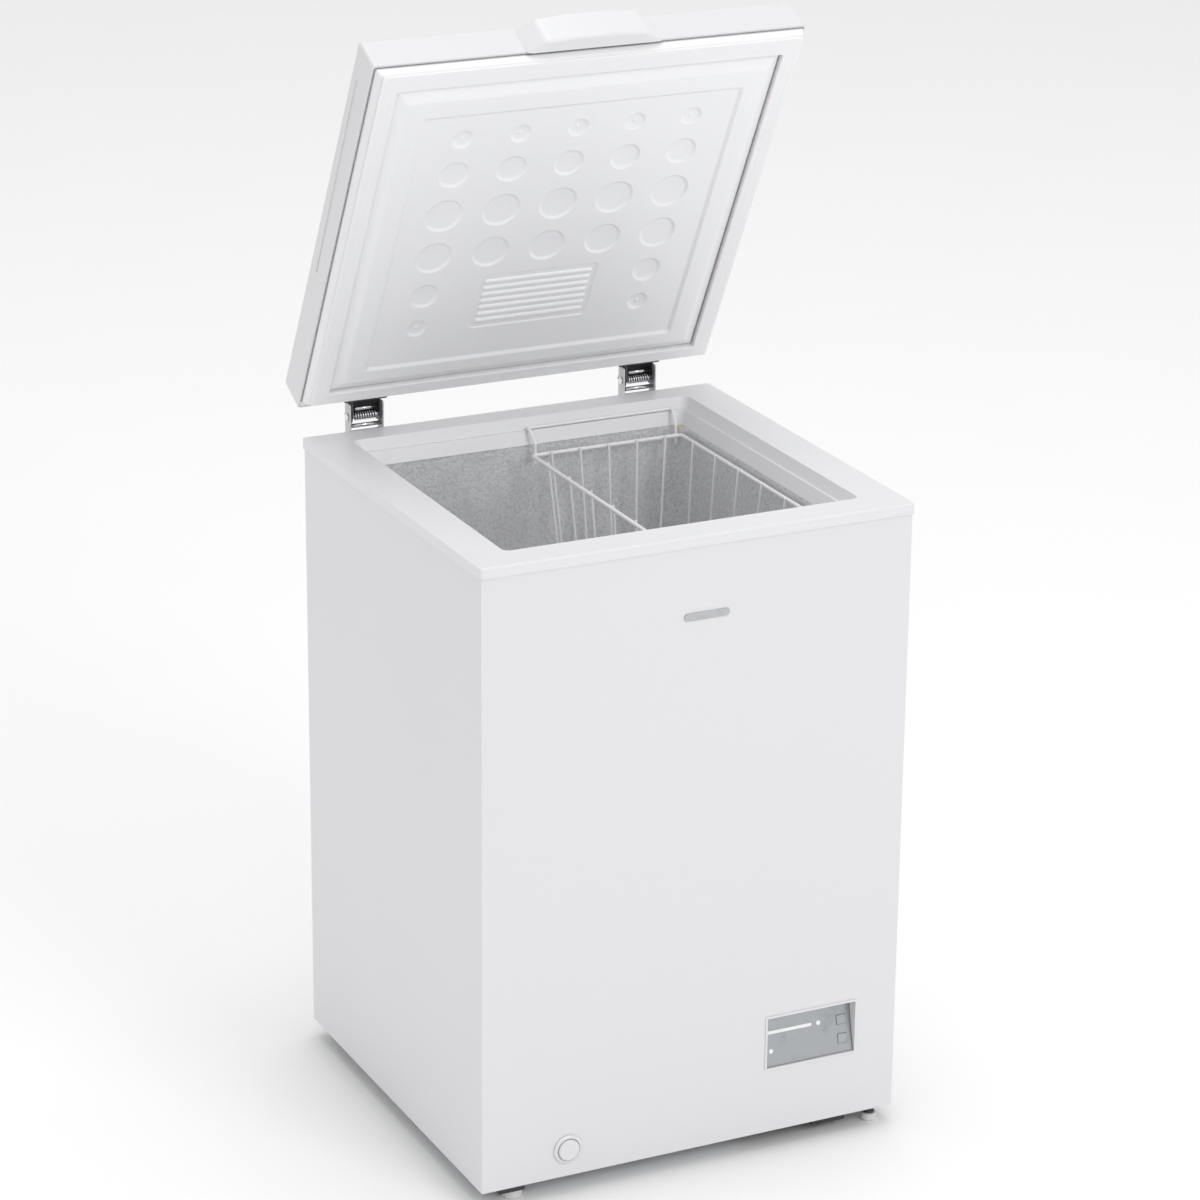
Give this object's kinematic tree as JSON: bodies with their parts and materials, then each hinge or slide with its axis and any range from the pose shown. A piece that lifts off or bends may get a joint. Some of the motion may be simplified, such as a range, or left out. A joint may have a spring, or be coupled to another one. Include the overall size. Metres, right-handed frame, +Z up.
{
  "type": "chest freezer",
  "caption": "Upright-bodied chest freezer with an open hinged lid, a sliding wire basket, a small control panel and a drain outlet low on the front.",
  "frame": {"origin": "on the floor, under the middle of the open freezer's bounding box", "axes": "+Z up, -Y out of the front, +X to the right of someone who faces the front"},
  "size_m": [0.545, 0.5709, 1.3139],
  "materials": {
    "cabinet_paint": "satin",
    "rear_paint": "satin",
    "galvanised_steel": "satin",
    "hinge_steel": "satin",
    "leaf_steel": "satin",
    "tray_paint": "satin",
    "stucco_aluminium": "satin",
    "plain_aluminium": "satin",
    "rim_plastic": "satin",
    "lid_plastic": "satin",
    "lid_lining_plastic": "satin",
    "gasket_rubber": "matte",
    "handle_plastic": "satin",
    "panel_frame_plastic": "satin",
    "panel_face_plastic": "satin",
    "lamp_plastic": "gloss",
    "button_plastic": "satin",
    "circuit_board": "satin",
    "badge_metal": "satin",
    "drain_plastic": "satin",
    "black_plastic": "matte",
    "foot_plastic": "matte",
    "black_rubber": "matte",
    "compressor_paint": "gloss",
    "copper": "satin",
    "condenser_steel": "satin",
    "insulation_foam": "matte",
    "basket_wire": "satin",
    "spring_steel": "polished"
  },
  "bodies": {
    "cabinet": {"outer_wrap": "cabinet_paint", "rear_panel": "rear_paint", "bottom_plate": "galvanised_steel", "compressor_tray": "tray_paint", "top_frame": "rim_plastic", "tank_liner": "stucco_aluminium", "evaporator_tube": "plain_aluminium", "condenser_tube": "condenser_steel", "drain_tube": "drain_plastic", "drain_ring": "drain_plastic", "foam_body": "insulation_foam", "tray_screws": "tray_paint", "compressor_grommets": "black_rubber", "compressor": "compressor_paint", "terminal_cover": "black_plastic", "filter_drier": "copper", "suction_pipe": "copper", "discharge_pipe": "copper", "compartment_cover": "black_plastic", "cord_gland": "black_rubber", "panel_bezel": "panel_frame_plastic", "panel_fascia": "panel_face_plastic", "led_bar": "lamp_plastic", "indicator_lenses": "lamp_plastic", "control_board": "circuit_board", "rear_left_foot": "foot_plastic", "rear_right_foot": "foot_plastic", "foot_flanges": "black_plastic", "badge": "badge_metal", "hinge_bracket_left": "hinge_steel", "hinge_bracket_right": "hinge_steel", "hinge_pin_left": "spring_steel", "hinge_pin_right": "spring_steel", "hinge_spring_left": "spring_steel", "hinge_spring_right": "spring_steel", "bracket_screws": "spring_steel"},
    "lid": {"lid_outer_shell": "lid_plastic", "lid_foam": "insulation_foam", "lid_inner_cover": "lid_lining_plastic", "lid_gasket": "gasket_rubber", "lid_handle": "handle_plastic", "hinge_leaf_left": "leaf_steel", "hinge_leaf_right": "leaf_steel", "leaf_screws": "spring_steel"},
    "basket": {"basket_rim": "basket_wire", "basket_base_ring": "basket_wire", "basket_wall_left": "basket_wire", "basket_wall_right": "basket_wire", "basket_wall_front": "basket_wire", "basket_wall_rear": "basket_wire", "basket_floor": "basket_wire", "basket_hanger_front": "basket_wire", "basket_hanger_rear": "basket_wire"},
    "button_upper": {"button_upper": "button_plastic"},
    "button_lower": {"button_lower": "button_plastic"},
    "drain_cap": {"drain_cap": "drain_plastic"},
    "drain_plug": {"drain_plug": "drain_plastic"},
    "front_left_foot": {"front_left_foot": "foot_plastic"},
    "front_right_foot": {"front_right_foot": "foot_plastic"}
  },
  "joints": [
    {"name": "lid_hinge", "type": "hinge", "parent": "cabinet", "child": "lid", "pos_m": [0, 0.2531, 0.79615], "axis": [-1, 0, 0], "range_deg": [-62.4, 9.6]},
    {"name": "basket_slide", "type": "slide", "parent": "cabinet", "child": "basket", "axis": [1, 0, 0], "range_m": [-0.2, 0]},
    {"name": "button_upper_press", "type": "slide", "parent": "cabinet", "child": "button_upper", "axis": [0, 0.9776, -0.2106], "range_m": [0, 0.001], "stiffness_N_per_m": 300},
    {"name": "button_lower_press", "type": "slide", "parent": "cabinet", "child": "button_lower", "axis": [0, 0.9776, -0.2106], "range_m": [0, 0.001], "stiffness_N_per_m": 300},
    {"name": "drain_cap_pull", "type": "slide", "parent": "cabinet", "child": "drain_cap", "axis": [0, -1, 0], "range_m": [0, 0.03]},
    {"name": "drain_plug_pull", "type": "slide", "parent": "cabinet", "child": "drain_plug", "axis": [0, 0, 1], "range_m": [0, 0.03]},
    {"name": "front_left_foot_turn", "type": "hinge", "parent": "cabinet", "child": "front_left_foot", "pos_m": [-0.222, -0.2575, 0], "axis": [0, 0, 1], "range_deg": [-180, 180]},
    {"name": "front_right_foot_turn", "type": "hinge", "parent": "cabinet", "child": "front_right_foot", "pos_m": [0.249, -0.2625, 0], "axis": [0, 0, 1], "range_deg": [-180, 180]}
  ]
}
